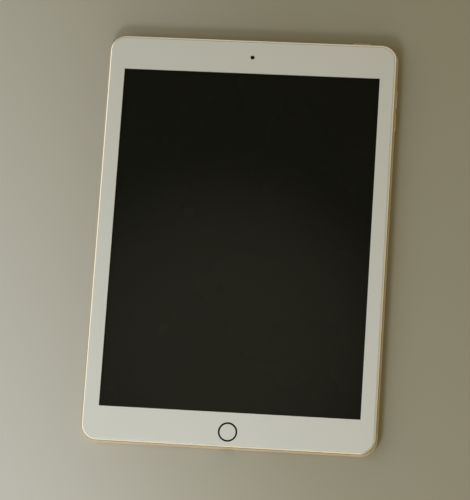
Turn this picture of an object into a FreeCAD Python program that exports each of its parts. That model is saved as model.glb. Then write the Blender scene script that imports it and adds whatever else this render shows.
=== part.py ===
"""Tablet computer, 9.7-inch class, built as separate pieces in millimetres.

The tablet lies on its back: +Z is out of the screen, +Y towards the front camera, +X to the
right as the user sees it. The origin is the middle of the flat back face.
"""

import FreeCAD, Part
import math
import os

V = FreeCAD.Vector
X_AXIS, Y_AXIS, Z_AXIS = V(1, 0, 0), V(0, 1, 0), V(0, 0, 1)

# ---- driving dimensions of the whole tablet ----
WIDTH, HEIGHT, THICKNESS = 169.5, 240.0, 7.5
CORNER_RADIUS = 10.0  # of the outline seen from the front
WALL = 1.0  # aluminium wall and floor
FLOOR = WALL  # inside face of the back

# Edge profile: how far a point lies inside the outline (inset), against its height.
FLAT_BACK_INSET = 6.0  # the back is flat inside this
BACK_RADIUS = 9.0  # broad curve between the back and the side
WIDEST_HEIGHT = 3.6  # height of the outline itself
SIDE_LEAN = math.radians(18)  # the side wall leans in above its widest line
CHAMFER_BOTTOM, CHAMFER_TOP, CHAMFER_INSET = 6.72, 7.36, 1.88
SIDE_RADIUS = (BACK_RADIUS**2 - (BACK_RADIUS - WIDEST_HEIGHT) ** 2 - FLAT_BACK_INSET**2) / (
    2 * (BACK_RADIUS - FLAT_BACK_INSET)
)
CURVE_MEET = math.atan2(FLAT_BACK_INSET - SIDE_RADIUS, BACK_RADIUS - WIDEST_HEIGHT)

# Steps cut into the front of the shell.
RECESS_INSET, LEDGE_INSET = 1.9, 4.2
LEDGE_HEIGHT, LEDGE_UNDERSIDE = 6.3, 5.2

# ---- glass stack ----
GLASS_INSET, GLASS_THICKNESS, GLASS_EDGE_RADIUS = 2.12, 1.0, 0.3
GLASS_BACK = THICKNESS - GLASS_THICKNESS
PRINT_BACK = GLASS_BACK - 0.08
FILM_BACK = LEDGE_HEIGHT
WINDOW_WIDTH, WINDOW_HEIGHT, WINDOW_RADIUS = 149.3, 198.7, 0.4
CAMERA_HOLE_RADIUS = 1.25
SCREW_HOLE = 0.6
SLIP = 0.015  # gap between bonded pieces that would otherwise share a curved face
FILM_WIDTH, FILM_BOTTOM, FILM_TOP = 159.0, -101.6, 103.2  # touch film behind the glass

# ---- display module ----
DISPLAY_WIDTH, DISPLAY_HEIGHT, DISPLAY_Y = 155.5, 203.0, 0.5
DISPLAY_BACK, DISPLAY_FRONT = 3.95, 6.0
DISPLAY_BOTTOM = DISPLAY_Y - DISPLAY_HEIGHT / 2
LAMP_EDGE = DISPLAY_BOTTOM + 2.3
GUIDE_BACK, GUIDE_FRONT = DISPLAY_BACK + 0.3, 5.1
DRIVER_HALF, DRIVER_Y = 60.0, (DISPLAY_BOTTOM + 2, DISPLAY_BOTTOM + 10)
DRIVER_BACK = DISPLAY_BACK - 0.4
POST_X, POST_Y, POST_RADIUS, EAR_RADIUS = 79.2, 98.0, 1.2, 1.3
EAR_TOP, EAR_THICKNESS = 4.9, 0.3

# ---- battery ----
CELL_WIDTH, CELL_HEIGHT, CELL_GAP, CELL_THICKNESS = 60.0, 166.0, 2.0, 2.65
CELL_LEFT, CELL_BOTTOM = -76.0, -86.0
CELL_TOP = CELL_BOTTOM + CELL_HEIGHT
CELL_LEFTS = (CELL_LEFT, CELL_LEFT + CELL_WIDTH + CELL_GAP)
CELL_BACK = FLOOR + 0.1  # on its adhesive tape
CONTROLLER_Y, CONTROLLER_RIGHT = (CELL_TOP + 1.2, CELL_TOP + 6.2), 42.0

# ---- logic board ----
BOARD_LEFT, BOARD_RIGHT, BOARD_BOTTOM, BOARD_TOP = 49.0, 77.0, -80.0, 88.0
BOARD_BACK, BOARD_FRONT = 1.6, 2.2
BOARD_SCREWS = ((51.5, -77.0), (74.5, -77.0), (51.5, 77.0), (74.5, 86.0), (63.0, 3.5))
SHIELD_LEFT, SHIELD_RIGHT, SHIELD_TOP, SHIELD_SKIN = 53.5, 73.0, 3.7, 0.15
SHIELD_SPANS = ((22.0, 56.0), (-32.0, 0.5), (-66.0, -36.0))  # along Y
CHIP_X = (SHIELD_LEFT + SHIELD_RIGHT) / 2
PLUG_TOP = 2.89  # top of the board's low plugs
PLUG_ROWS = (-73.4, 82.6)  # Y of the plugs at the board's two ends
PLUG_DEPTH = 2.8  # along Y
DISPLAY_PLUG, TOUCH_PLUG, PORT_PLUG = (53.8, 59.8), (61.5, 66.9), (68.3, 72.7)  # lower end, X
TOP_PLUG, CAMERA_PLUG = (58.5, 64.0), (66.5, 71.0)  # upper end, X
BATTERY_PLUG = ((51.0, 56.0), (81.4, 85.8))  # X, Y
VOLUME_PLUG = ((73.2, 76.2), (79.2, 83.2))  # X, Y
COAX_PLUGS, COAX_HEIGHT = ((54.6, 65.0), (54.6, 70.5)), 0.85
FLEX = 0.12  # thickness of a flexible circuit
FLEX_RUN = PLUG_TOP + FLEX / 2  # middle height of the circuits that lie on the plugs
FLOOR_RUN = FLOOR + 0.3 + FLEX / 2  # middle height of those that lie on the floor

# ---- home button ----
HOME_Y = -110.4
HOME_HOLE_RADIUS, HOME_RING_OUTER, HOME_CAP_RADIUS = 5.55, 5.44, 4.56
HOME_RING_TOP, HOME_CAP_TOP = 7.46, 7.36
HOME_CARRIER_BACK, HOME_CARRIER_FRONT, HOME_NUB_END = 5.85, 6.1, 5.77
HOME_PLATE_BACK, HOME_PLATE_FRONT = 5.2, 5.4
HOME_DOME_BACK = HOME_PLATE_FRONT + FLEX
HOME_CARRIER_RADIUS, HOME_SEAL_RADIUS = 5.9, 6.1
HOME_NOTCH_RADIUS = 6.6  # in the shell's ledge and its tape
HOME_PLATE_Y, HOME_PLATE_HALF = (-115.4, -102.8), 13.0

# ---- side buttons ----
BUTTON_LENGTH, BUTTON_WIDTH, BUTTON_PROUD = 10.2, 2.4, 0.35
BUTTON_GAP = 0.1
BUTTON_HEIGHT = 3.6  # of the button's middle above the back
POWER_X = 63.0
VOLUME_Y = (88.0, 74.5)  # up, down
FLANGE_FRONT, FLANGE_BACK, NUB_END = 2.1, 2.7, 3.0  # distances in from the outline
DOME_END, SWITCH_END = 3.35, 3.65
BRACKET_START = SWITCH_END + FLEX
BRACKET_END = BRACKET_START + 0.25
BRACKET_FOOT, FOOT_BACK, FOOT_FRONT = 2.6, 1.7, 1.95
POWER_BRACKET_HALF, VOLUME_BRACKET_HALF, EYELET_FROM_END, EYELET_IN = 9.0, 12.5, 2.0, 1.4
BRACKET_WINDOW_HEIGHTS = (2.5, 3.4)

# ---- sockets, holes and cameras ----
JACK_X, JACK_HEIGHT, JACK_BORE, JACK_NOSE, JACK_HOLE = -65.0, 3.5, 1.8, 2.25, 2.3
JACK_SHOULDER, JACK_END, JACK_BACK = 115.4, 105.05, 104.2
PORT_HEIGHT, PORT_HOLE_WIDTH, PORT_HOLE_HEIGHT = 3.3, 8.4, 2.9
PORT_NOSE_WIDTH, PORT_NOSE_HEIGHT, PORT_MOUTH = 8.2, 2.7, -119.3
PORT_BODY_WIDTH, PORT_BODY_HEIGHT, PORT_SHOULDER, PORT_BACK = 10.0, 3.4, -116.9, -108.0
PORT_CAVITY_WIDTH, PORT_CAVITY_HEIGHT, PORT_CAVITY_END, PORT_LINER = 6.9, 1.8, -110.0, 0.3
SPEAKER_HOLES, SPEAKER_PITCH, SPEAKER_HOLE_RADIUS = 18, 1.6, 0.45
SPEAKER_ROWS = (3.0, 4.3)
SPEAKER_X, SPEAKER_WIDTH = 36.0, 30.0
SPEAKER_BACK, SPEAKER_INNER_Y, SPEAKER_OUTER_Y, SPEAKER_MOUTH = 1.35, -104.0, -115.6, -118.38
SPEAKER_EAR_X, SPEAKER_EAR_Y = 16.6, -106.0
TOP_MIC_HEIGHT, MIC_RADIUS = 3.9, 0.5
REAR_MIC_Y = 108.0
FRONT_CAMERA_Y = 108.8
CAMERA_PLATE = (2.7, 3.0)  # along Z
SENSOR_X, SENSOR_BACK, SENSOR_FRONT = 9.0, 5.5, 6.0
REAR_CAMERA_X, REAR_CAMERA_Y, REAR_CAMERA_HOLE = 71.5, 107.5, 4.0
ANTENNAS = ((-50.0, -30.0), (20.0, 40.0))  # along X
ANTENNA_BACK, ANTENNA_FRONT = 4.6, 5.8
CABLE_RADIUS, CABLE_RUN = 0.35, 3.45
MAGNET_LENGTH, MAGNETS_IN_ROW, MAGNET_PITCH, MAGNET_ROWS = 6.0, 4, 7.0, (-60.0, 60.0)


# ---- shape helpers ----
def block(x, y, z):
    """A box from its ranges along X, Y and Z."""
    return Part.makeBox(x[1] - x[0], y[1] - y[0], z[1] - z[0], V(x[0], y[0], z[0]))


def about(centre, size):
    """The range of that size about a centre."""
    return (centre - size / 2, centre + size / 2)


def upright_edges(solid):
    return [e for e in solid.Edges if abs(e.tangentAt(e.FirstParameter).z) > 0.99]


def slab(width, height, z, radius, centre=(0.0, 0.0)):
    """A flat plate with round corners, between two heights."""
    solid = block(about(centre[0], width), about(centre[1], height), z)
    return solid.makeFillet(radius, upright_edges(solid))


def inset_slab(inset, z):
    """A plate that follows the tablet's outline at a distance inside it."""
    return slab(WIDTH - 2 * inset, HEIGHT - 2 * inset, z, CORNER_RADIUS - inset)


def rod(radius, start, length, axis=Z_AXIS):
    return Part.makeCylinder(radius, length, V(*start), axis)


def tube(outer, inner, start, length, axis=Z_AXIS):
    return rod(outer, start, length, axis).cut(rod(inner, start, length, axis))


def fuse(solids):
    """One clean solid from several that meet or overlap."""
    first, *others = solids
    return first.fuse(others).removeSplitter() if others else first


def group(solids):
    """Separate solids kept in one node."""
    return Part.makeCompound(list(solids))


def mirrored(solid):
    """The same solid on the tablet's other side."""
    return solid.mirror(V(0, 0, 0), X_AXIS)


def stadium(length, width, y, x=0.0, z=0.0):
    """A bar along Y with a long section with round ends: length along X, width along Z."""
    r, half = width / 2, (length - width) / 2
    a, b = V(x - half, y[0], z - r), V(x + half, y[0], z - r)
    c, d = V(x + half, y[0], z + r), V(x - half, y[0], z + r)
    right = Part.Arc(b, V(x + half + r, y[0], z), c).toShape()
    left = Part.Arc(d, V(x - half - r, y[0], z), a).toShape()
    sides = [Part.LineSegment(a, b).toShape(), Part.LineSegment(c, d).toShape()]
    wire = Part.Wire([sides[0], right, sides[1], left])
    return Part.Face(wire).extrude(V(0, y[1] - y[0], 0))


def strip(points, thickness, plane, across):
    """A flexible circuit: a bent line of even thickness, extruded across its width.

    points lie in the plane "xz" or "yz"; across is the range along the other axis.
    """
    sides = ([], [])
    for i, (a, z) in enumerate(points):
        before, after = points[max(i - 1, 0)], points[min(i + 1, len(points) - 1)]
        into = V(a - before[0], z - before[1], 0) if i else V(after[0] - a, after[1] - z, 0)
        out = V(after[0] - a, after[1] - z, 0) if i < len(points) - 1 else into
        into, out = V(into).normalize(), V(out).normalize()
        bisector = (into + out).normalize()
        reach = thickness / 2 / max(bisector.dot(into), 0.3)
        for side, sign in zip(sides, (1, -1)):
            side.append((a - sign * bisector.y * reach, z + sign * bisector.x * reach))
    outline = sides[0] + sides[1][::-1]
    if plane == "xz":
        bends = [V(a, across[0], z) for a, z in outline]
        push = V(0, across[1] - across[0], 0)
    else:
        bends = [V(across[0], a, z) for a, z in outline]
        push = V(across[1] - across[0], 0, 0)
    return Part.Face(Part.makePolygon(bends + bends[:1])).extrude(push)


def cable(points, radius):
    """A round cable of straight runs joined by tangent arcs as large as the runs allow."""
    points = [V(*p) for p in points]
    edges, start = [], points[0]
    for before, corner, after in zip(points, points[1:], points[2:]):
        into, out = (corner - before), (after - corner)
        half_turn = into.getAngle(out) / 2
        setback = 0.45 * min(into.Length, out.Length)
        first = corner - V(into).normalize() * setback
        last = corner + V(out).normalize() * setback
        inward = ((first + last) * 0.5 - corner).normalize()
        arc_radius = setback / math.tan(half_turn)
        middle = corner + inward * (arc_radius / math.cos(half_turn) - arc_radius)
        edges.append(Part.LineSegment(start, first).toShape())
        edges.append(Part.Arc(first, middle, last).toShape())
        start = last
    edges.append(Part.LineSegment(start, points[-1]).toShape())
    path = Part.Wire(edges)
    section = Part.Wire(Part.makeCircle(radius, points[0], points[1] - points[0]))
    return path.makePipeShell([section], True, False)


def screw(x, y, seat, length, head_radius=1.25, shank_radius=0.55):
    """A small pan-head screw with a cross recess, driven down from its seat height."""
    head_height, slot = 0.45, 0.28
    head = rod(head_radius, (x, y, seat), head_height)
    head = head.makeFillet(0.15, [head.Edges[0]])
    solid = fuse([head, rod(shank_radius, (x, y, seat - length), length)])
    z = (seat + head_height - 0.22, seat + head_height + 1)
    reach = head_radius * 1.1
    cross = [block(about(x, reach), about(y, slot), z), block(about(x, slot), about(y, reach), z)]
    return solid.cut(fuse(cross))


# ---- the tablet's moulded edge ----
def curve_point(radius_change, angle):
    """(inset, height) on the rounded edge, drawn this much smaller, at an angle from straight down."""
    if angle <= CURVE_MEET:
        r = BACK_RADIUS - radius_change
        return FLAT_BACK_INSET - r * math.sin(angle), BACK_RADIUS - r * math.cos(angle)
    r = SIDE_RADIUS - radius_change
    return SIDE_RADIUS - r * math.sin(angle), WIDEST_HEIGHT - r * math.cos(angle)


def edge_path(thinner, top):
    """The rounded edge from the flat back up its leaning side to the height top, as segments."""
    lean_start = math.pi / 2 + SIDE_LEAN
    back = [curve_point(thinner, a) for a in (0, CURVE_MEET / 2, CURVE_MEET)]
    side = [curve_point(thinner, a) for a in ((CURVE_MEET + lean_start) / 2, lean_start)]
    inset, height = side[-1]
    end = (inset + (top - height) * math.tan(SIDE_LEAN), top)
    return [tuple(back), (back[-1], side[0], side[1]), (side[1], end)]


def moulded(segments):
    """A solid whose edge follows an (inset, height) path all the way round the tablet's outline."""
    r = CORNER_RADIUS
    low, high = segments[0][0], segments[-1][-1]
    closed = segments + [(high, (r, high[1])), ((r, high[1]), (r, low[1])), ((r, low[1]), low)]

    def face(place):
        edges = []
        for segment in closed:
            ends = [place(*point) for point in segment]
            shape = Part.Arc(*ends) if len(ends) == 3 else Part.LineSegment(*ends)
            edges.append(shape.toShape())
        return Part.Face(Part.Wire(edges))

    x, y = WIDTH / 2, HEIGHT / 2
    corner = face(lambda inset, z: V(r - inset, 0, z)).revolve(V(0, 0, 0), Z_AXIS, 90)
    right = face(lambda inset, z: V(x - inset, r - y, z)).extrude(V(0, 2 * (y - r), 0))
    upper = face(lambda inset, z: V(r - x, y - inset, z)).extrude(V(2 * (x - r), 0, 0))
    pieces = [block((r - x, x - r), (r - y, y - r), (low[1], high[1]))]
    for quarter, (sx, sy) in enumerate(((1, 1), (-1, 1), (-1, -1), (1, -1))):
        turned = corner.copy()
        turned.rotate(V(0, 0, 0), Z_AXIS, 90 * quarter)
        turned.translate(V(sx * (x - r), sy * (y - r), 0))
        pieces.append(turned)
    for side in (right, upper):
        opposite = side.copy()
        opposite.rotate(V(0, 0, 0), Z_AXIS, 180)
        pieces += [side, opposite]
    return fuse(pieces)


# ---- side buttons: drawn on the top edge at x = 0, then put in place ----
def put_on_top(solid, x):
    placed = solid.copy()
    placed.translate(V(x, HEIGHT / 2, 0))
    return placed


def put_on_right(solid, y):
    placed = solid.copy()
    placed.rotate(V(0, 0, 0), Z_AXIS, -90)
    placed.translate(V(WIDTH / 2, y, 0))
    return placed


def button_bar(grow, y):
    return stadium(BUTTON_LENGTH + 2 * grow, BUTTON_WIDTH + 2 * grow, y, z=BUTTON_HEIGHT)


def side_button():
    """A bar that stands proud of the wall, with a flange that stops it inside and a nub."""
    bar = button_bar(0, (-FLANGE_FRONT, BUTTON_PROUD))
    front = [e for e in bar.Edges if abs(e.CenterOfMass.y - BUTTON_PROUD) < 1e-6]
    bar = bar.makeFillet(0.2, front)
    flange = button_bar(0.3, (-FLANGE_BACK, -FLANGE_FRONT))
    nub = rod(0.7, (0, -NUB_END, BUTTON_HEIGHT), NUB_END - FLANGE_BACK, Y_AXIS)
    return fuse([bar, flange, nub])


def snap_dome(radius, height, skin=0.08):
    """A thin domed disc standing on z = 0 with its crown at the height given."""
    ball = (radius**2 + height**2) / (2 * height)
    outer = Part.makeSphere(ball, V(0, 0, height - ball))
    inner = Part.makeSphere(ball - skin, V(0, 0, height - ball))
    above = rod(radius * 2, (0, 0, 0), height * 2)
    return outer.cut(inner).common(above)


def button_dome():
    """The snap dome behind a side button, its crown facing the button's nub."""
    dome = snap_dome(1.3, DOME_END - NUB_END - 0.02)
    dome.rotate(V(0, 0, 0), X_AXIS, -90)
    dome.translate(V(0, -DOME_END, BUTTON_HEIGHT))
    return dome


def button_switch():
    """The switch base that the dome stands on, and its two solder tabs."""
    base = block(about(0, 3.6), (-SWITCH_END, -DOME_END), about(BUTTON_HEIGHT, 2.8))
    tabs = [
        block(about(x, 0.8), (-SWITCH_END, -DOME_END - 0.1), about(BUTTON_HEIGHT, 1.2))
        for x in (-2.1, 2.1)
    ]
    return fuse([base, *tabs])


def button_bracket(half_length, window):
    """A steel angle behind the switches, with a slot for their circuit and two eyelets."""
    plate = block((-half_length, half_length), (-BRACKET_END, -BRACKET_START), (FOOT_BACK, 5.0))
    foot_y = (-BRACKET_END - BRACKET_FOOT, -BRACKET_END)
    foot = block((-half_length, half_length), foot_y, (FOOT_BACK, FOOT_FRONT))
    reach = half_length - EYELET_FROM_END
    eyelets = [rod(0.65, (s * reach, -BRACKET_END - EYELET_IN, 1), 2) for s in (-1, 1)]
    slot = block(window, (-BRACKET_END - 1, 0), BRACKET_WINDOW_HEIGHTS)
    return fuse([plate, foot]).cut([slot, *eyelets])


# ---- shell ----
def housing_openings():
    """Everything drilled or milled through the shell's wall and back."""
    y = HEIGHT / 2
    cuts = [
        rod(JACK_HOLE, (JACK_X, y - 5, JACK_HEIGHT), 8, Y_AXIS),
        stadium(PORT_HOLE_WIDTH, PORT_HOLE_HEIGHT, (-y - 2, -y + 2.5), z=PORT_HEIGHT),
        rod(MIC_RADIUS, (0, y - 3, TOP_MIC_HEIGHT), 5, Y_AXIS),
        rod(REAR_CAMERA_HOLE, (REAR_CAMERA_X, REAR_CAMERA_Y, -1), 3),
        rod(MIC_RADIUS, (0, REAR_MIC_Y, -1), 3),
    ]
    slot = button_bar(BUTTON_GAP, (-2.5, 2))
    cuts.append(put_on_top(slot, POWER_X))
    cuts += [put_on_right(slot, at) for at in VOLUME_Y]
    for side in (-1, 1):
        for row in SPEAKER_ROWS:
            for i in range(SPEAKER_HOLES):
                x = side * SPEAKER_X + (i - (SPEAKER_HOLES - 1) / 2) * SPEAKER_PITCH
                cuts.append(rod(SPEAKER_HOLE_RADIUS, (x, -y - 1, row), 4, Y_AXIS))
    return cuts


def corners(x, y):
    """The four places at plus and minus x and y."""
    return [(sx * x, sy * y) for sx in (-1, 1) for sy in (-1, 1)]


def bracket_eyelets():
    """Where the two side button brackets are screwed down, as (x, y)."""
    inward = BRACKET_END + EYELET_IN
    reach = POWER_BRACKET_HALF - EYELET_FROM_END
    places = [(POWER_X + s * reach, HEIGHT / 2 - inward) for s in (-1, 1)]
    reach = VOLUME_BRACKET_HALF - EYELET_FROM_END
    return places + [(WIDTH / 2 - inward, sum(VOLUME_Y) / 2 + s * reach) for s in (-1, 1)]


def speaker_ears():
    places = [s * SPEAKER_X + t * SPEAKER_EAR_X for s in (-1, 1) for t in (-1, 1)]
    return [(x, SPEAKER_EAR_Y) for x in places]


def housing_posts():
    """(radius, top, places) of the bosses inside the shell."""
    return (
        (POST_RADIUS, EAR_TOP - EAR_THICKNESS, corners(POST_X, POST_Y)),
        (1.5, BOARD_BACK, BOARD_SCREWS),
        (1.0, FOOT_BACK, bracket_eyelets()),
        (1.2, SPEAKER_BACK, speaker_ears()),
    )


def home_notch():
    """The room that the home button takes out of the ledge and of the tape on it."""
    return rod(HOME_NOTCH_RADIUS, (0, HOME_Y, LEDGE_UNDERSIDE - 0.1), THICKNESS - LEDGE_UNDERSIDE)


def rear_housing():
    chamfer_start = edge_path(0, CHAMFER_BOTTOM)[-1][-1]
    outside = edge_path(0, CHAMFER_BOTTOM) + [(chamfer_start, (CHAMFER_INSET, CHAMFER_TOP))]
    shell = moulded(outside).cut(moulded(edge_path(WALL, LEDGE_UNDERSIDE)))
    shell = shell.cut(inset_slab(LEDGE_INSET, (LEDGE_UNDERSIDE - 0.1, LEDGE_HEIGHT + 0.1)))
    shell = shell.cut(inset_slab(RECESS_INSET, (LEDGE_HEIGHT, THICKNESS + 1)))
    shell = shell.cut(home_notch())
    posts, holes = [], []
    for radius, top, places in housing_posts():
        posts += [rod(radius, (x, y, FLOOR / 2), top - FLOOR / 2) for x, y in places]
        holes += [rod(SCREW_HOLE, (x, y, max(top - 1.7, 0.5)), 2) for x, y in places]
    shell = shell.fuse(posts).removeSplitter()
    return shell.cut(housing_openings() + holes)


# ---- glass stack ----
def cover_glass():
    pane = inset_slab(GLASS_INSET, (GLASS_BACK, THICKNESS))
    rim = [e for e in pane.Edges if e.BoundBox.ZMin > THICKNESS - 1e-4]
    pane = pane.makeFillet(GLASS_EDGE_RADIUS, rim)
    return pane.cut(rod(HOME_HOLE_RADIUS, (0, HOME_Y, GLASS_BACK - 1), 3))


def bezel_print():
    """The white ink on the back of the glass, open at the window, the camera and the button."""
    z = (PRINT_BACK, GLASS_BACK)
    sheet = inset_slab(GLASS_INSET + 0.1, z)
    over = (z[0] - 1, z[1] + 1)
    window = slab(WINDOW_WIDTH, WINDOW_HEIGHT, over, WINDOW_RADIUS)
    camera = rod(CAMERA_HOLE_RADIUS, (0, FRONT_CAMERA_Y, z[0] - 1), 2)
    return sheet.cut([window, camera, rod(HOME_HOLE_RADIUS, (0, HOME_Y, z[0] - 1), 2)])


def glass_gasket():
    """The thin plastic edge bonded round the glass, which fills the gap to the shell."""
    z = (LEDGE_HEIGHT, CHAMFER_TOP)
    outer = inset_slab(RECESS_INSET + SLIP, z)
    return outer.cut(inset_slab(GLASS_INSET - SLIP, (z[0] - 1, z[1] + 1)))


def glass_adhesive():
    """The tape that holds the glass to the shell's ledge."""
    outer = inset_slab(GLASS_INSET + 0.2, (LEDGE_HEIGHT, PRINT_BACK))
    inner = inset_slab(LEDGE_INSET - 0.1, (LEDGE_HEIGHT - 1, PRINT_BACK + 1))
    return outer.cut([inner, home_notch()])


def touch_film():
    centre = (0.0, (FILM_BOTTOM + FILM_TOP) / 2)
    return slab(FILM_WIDTH, FILM_TOP - FILM_BOTTOM, (FILM_BACK, PRINT_BACK), 1.5, centre)


def touch_flex():
    """The touch film's tail: over the display's lower edge and back to the logic board."""
    top, outer = FILM_BACK + FLEX / 2, FILM_BOTTOM - 1.0
    route = [
        (FILM_BOTTOM, top),
        (outer + 0.4, top),
        (outer, top - 0.4),
        (outer, FLEX_RUN + 0.4),
        (outer + 0.4, FLEX_RUN),
        (PLUG_ROWS[0] + PLUG_DEPTH / 2, FLEX_RUN),
    ]
    return strip(route, FLEX, "yz", TOUCH_PLUG)


# ---- display module ----
def display_block(inset, z):
    size = (DISPLAY_WIDTH - 2 * inset, DISPLAY_HEIGHT - 2 * inset)
    return slab(*size, z, 0.8, (0.0, DISPLAY_Y))


def display_frame():
    """A pressed steel tray with four ears, open at the front."""
    tray = display_block(0, (DISPLAY_BACK, DISPLAY_FRONT))
    tray = tray.cut(display_block(0.9, (DISPLAY_BACK + 0.25, DISPLAY_FRONT + 1)))
    z = (EAR_TOP - EAR_THICKNESS, EAR_TOP)
    ears = []
    for x, y in corners(POST_X, POST_Y):
        inner = math.copysign(DISPLAY_WIDTH / 2 - 0.4, x)
        arm = block(sorted((inner, x)), about(y, 2 * EAR_RADIUS), z)
        eye = rod(EAR_RADIUS, (x, y, z[0]), EAR_THICKNESS)
        ears.append(fuse([arm, eye]).cut(rod(SCREW_HOLE, (x, y, 0), THICKNESS)))
    return fuse([tray, *ears])


def display_backlight():
    """The light guide with its diffuser sheets, cut back along one edge for the lamps."""
    guide = display_block(1.0, (GUIDE_BACK, GUIDE_FRONT))
    return guide.cut(block((-74, 74), (DISPLAY_BOTTOM, LAMP_EDGE), (DISPLAY_BACK, DISPLAY_FRONT)))


def backlight_lamps():
    """A circuit strip that carries a row of small lamps along the light guide's edge."""
    z = GUIDE_BACK
    y = (DISPLAY_BOTTOM + 1.1, LAMP_EDGE - 0.05)
    lamps, pitch = 36, 4.0
    pieces = [block((-73.5, 73.5), y, (z, z + 0.2))]
    for i in range(lamps):
        x = (i - (lamps - 1) / 2) * pitch
        pieces.append(block(about(x, 2.6), (y[0] + 0.2, y[1]), (z + 0.2, z + 0.75)))
    return fuse(pieces)


def display_panel():
    """The liquid crystal cell with its polarisers."""
    return display_block(1.0, (GUIDE_FRONT + 0.05, DISPLAY_FRONT - 0.03))


def display_foam():
    """The foam strip that keeps dust out of the air gap under the glass."""
    z = (DISPLAY_FRONT, FILM_BACK)
    outer = display_block(0.4, z)
    opening = slab(WINDOW_WIDTH + 0.8, WINDOW_HEIGHT + 0.8, (z[0] - 1, z[1] + 1), 0.5)
    return outer.cut(opening)


def display_driver():
    """The circuit that drives the panel, held on the back of the tray at its lower edge."""
    board = block((-DRIVER_HALF, DRIVER_HALF), DRIVER_Y, (DRIVER_BACK, DISPLAY_BACK))
    z, y = (DRIVER_BACK - 0.45, DRIVER_BACK), about(sum(DRIVER_Y) / 2, 4.6)
    return fuse([board] + [block(about(x, 9), y, z) for x in (-45, -20, 18, 48)])


def display_flex():
    """From the display's driver circuit across to the logic board."""
    y, z = DRIVER_Y[1], (DRIVER_BACK + DISPLAY_BACK) / 2
    lane = (y + 1.8, CELL_BOTTOM - 0.4)
    across = (30.0, 44.0)
    route = [(y, z), (y + 0.6, z), (lane[0], FLEX_RUN), (lane[1], FLEX_RUN)]
    thick = about(FLEX_RUN, FLEX)
    bridge = block((across[0], DISPLAY_PLUG[1]), lane, thick)
    landing = block(DISPLAY_PLUG, (lane[0], PLUG_ROWS[0] + PLUG_DEPTH / 2), thick)
    return fuse([strip(route, FLEX, "yz", across), bridge, landing])


def display_screws():
    return group([screw(x, y, EAR_TOP, 1.5) for x, y in corners(POST_X, POST_Y)])


# ---- battery ----
def battery_cells():
    """Two flat pouch cells side by side."""
    z = (CELL_BACK, CELL_BACK + CELL_THICKNESS)
    cells = []
    for left in CELL_LEFTS:
        centre = (left + CELL_WIDTH / 2, (CELL_BOTTOM + CELL_TOP) / 2)
        pouch = slab(CELL_WIDTH, CELL_HEIGHT, z, 3.0, centre)
        cells.append(pouch.makeFillet(0.8, [e for e in pouch.Edges if e.BoundBox.ZLength < 1e-6]))
    return group(cells)


def battery_tape():
    """Pull-off adhesive strips under the cells."""
    y, z = (CELL_BOTTOM + 6, CELL_TOP - 6), (FLOOR, CELL_BACK)
    lefts = [left + offset for left in CELL_LEFTS for offset in (8.0, 26.0, 44.0)]
    return group([block((x, x + 8.0), y, z) for x in lefts])


def battery_controller():
    """The protection circuit along the cells' upper edge, with its tabs, chips and feet."""
    y, middle, z = CONTROLLER_Y, sum(CONTROLLER_Y) / 2, (1.7, 2.3)
    board = block((-44, CONTROLLER_RIGHT), y, z)
    chips = [block(about(x, 5), about(middle, 2.4), (z[1], 3.1)) for x in (-32, -10, 8, 28)]
    feet = [block(about(x, 8), about(middle, 4), (FLOOR, z[0])) for x in (-38, 0, 36)]
    tab_y, tab_z = (CELL_TOP + 0.02, y[0] + 1.6), (z[1], z[1] + 0.15)
    tabs = [block(about(x, 4), tab_y, tab_z) for x in (-40, -22, 18, 37)]
    return fuse([board, *chips, *feet, *tabs])


def battery_flex():
    x = CONTROLLER_RIGHT
    route = [(x, 2.1), (x + 1.2, 2.1), (x + 2.7, FLEX_RUN), (BATTERY_PLUG[0][1], FLEX_RUN)]
    return strip(route, FLEX, "xz", BATTERY_PLUG[1])


# ---- logic board ----
def logic_board():
    centre = ((BOARD_LEFT + BOARD_RIGHT) / 2, (BOARD_BOTTOM + BOARD_TOP) / 2)
    size = (BOARD_RIGHT - BOARD_LEFT, BOARD_TOP - BOARD_BOTTOM)
    board = slab(*size, (BOARD_BACK, BOARD_FRONT), 1.5, centre)
    over = (BOARD_BACK - 1, BOARD_FRONT + 1)
    notches = [
        block((BOARD_LEFT - 1, BOARD_LEFT + 3), (-50, -38), over),
        block((BOARD_RIGHT - 3, BOARD_RIGHT + 1), (58, 72), over),
    ]
    return board.cut(notches + [rod(SCREW_HOLE + 0.1, (x, y, 0), 5) for x, y in BOARD_SCREWS])


def board_shields():
    """Three tin cans with vent holes over the busy parts of the board."""
    skin, cans = SHIELD_SKIN, []
    for low, high in SHIELD_SPANS:
        can = block((SHIELD_LEFT, SHIELD_RIGHT), (low, high), (BOARD_FRONT, SHIELD_TOP))
        can = can.makeFillet(0.4, upright_edges(can))
        inside = ((SHIELD_LEFT + skin, SHIELD_RIGHT - skin), (low + skin, high - skin))
        hollow = block(*inside, (BOARD_FRONT - 1, SHIELD_TOP - skin))
        vents = [rod(0.35, (SHIELD_LEFT + 3.2 + 2.2 * i, high - 2.5, 3), 2) for i in range(7)]
        cans.append(can.cut([hollow, *vents]))
    return group(cans)


def chip(x, y, width, height, tall):
    """A moulded chip on a narrower foot, with a round dimple at one corner."""
    foot = block(about(x, width - 0.6), about(y, height - 0.6), (BOARD_FRONT, BOARD_FRONT + 0.15))
    top = BOARD_FRONT + 0.15 + tall
    body = block(about(x, width), about(y, height), (BOARD_FRONT + 0.15, top))
    dimple = rod(0.3, (x - width / 2 + 1, y + height / 2 - 1, top - 0.05), 1)
    return fuse([foot, body]).cut(dimple)


def processor():
    return chip(CHIP_X, sum(SHIELD_SPANS[0]) / 2, 14.5, 14.5, 0.9)


def memory_chips():
    middle = sum(SHIELD_SPANS[1]) / 2
    return group([chip(CHIP_X, middle + side * 7.7, 11.5, 11.5, 0.75) for side in (-1, 1)])


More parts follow.
